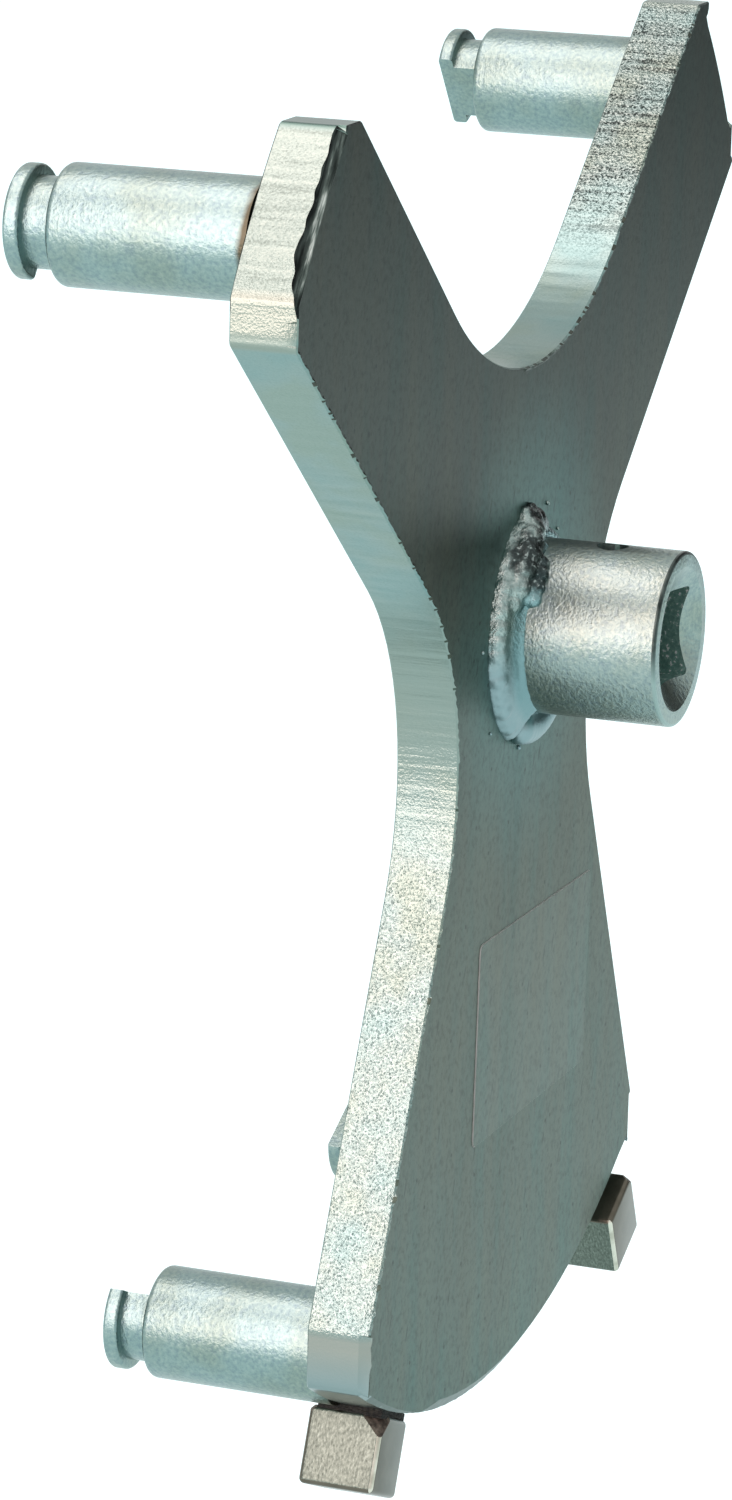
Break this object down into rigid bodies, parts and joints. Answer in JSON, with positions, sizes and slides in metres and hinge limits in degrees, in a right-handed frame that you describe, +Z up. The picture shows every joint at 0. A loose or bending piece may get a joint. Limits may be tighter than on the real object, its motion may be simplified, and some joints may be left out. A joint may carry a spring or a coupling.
{
  "type": "fuel sender wrench",
  "caption": "Notched steel plate wrench with a welded square drive boss and end-flanged pins that turn a fuel tank's sender lock ring; cube magnets cling to the rim.",
  "frame": {"origin": "on the drive axis, at the plate's back face", "axes": "+Z up, from the foot to the fork; +Y out of the back face, towards the pins; +X to the right for someone who looks at the boss"},
  "size_m": [0.191, 0.0651, 0.1991],
  "materials": {
    "plate_zinc": "laser-cut steel plate, zinc plated with a blue passivation, satin",
    "turned_zinc": "turned steel, zinc plated with a blue passivation, fine grain",
    "weld_zinc": "weld bead, zinc plated, burnt dark in places",
    "clear_film": "thin clear sticker, bare",
    "nickel": "nickel plating, brushed, with a broken corner"
  },
  "bodies": {
    "wrench": {"wrench_plate": "plate_zinc", "drive_socket": "turned_zinc", "socket_weld_left": "weld_zinc", "socket_weld_lower": "weld_zinc", "socket_weld_right": "weld_zinc", "pin_upper_left": "turned_zinc", "pin_upper_right": "turned_zinc", "pin_lower_left": "turned_zinc", "pin_lower_right": "turned_zinc", "pin_weld_upper_left": "weld_zinc", "pin_weld_upper_right": "weld_zinc", "pin_weld_lower_left": "weld_zinc", "pin_weld_lower_right": "weld_zinc", "label_film": "clear_film"},
    "left_magnet": {"magnet_left": "nickel"},
    "right_magnet": {"magnet_right": "nickel"}
  },
  "joints": [
    {"name": "magnet_left_pull", "type": "slide", "parent": "wrench", "child": "left_magnet", "axis": [-0.4147, 0, -0.91], "range_m": [0, 0.015]},
    {"name": "magnet_right_pull", "type": "slide", "parent": "wrench", "child": "right_magnet", "axis": [0.4289, 0, -0.9033], "range_m": [0, 0.015]}
  ]
}
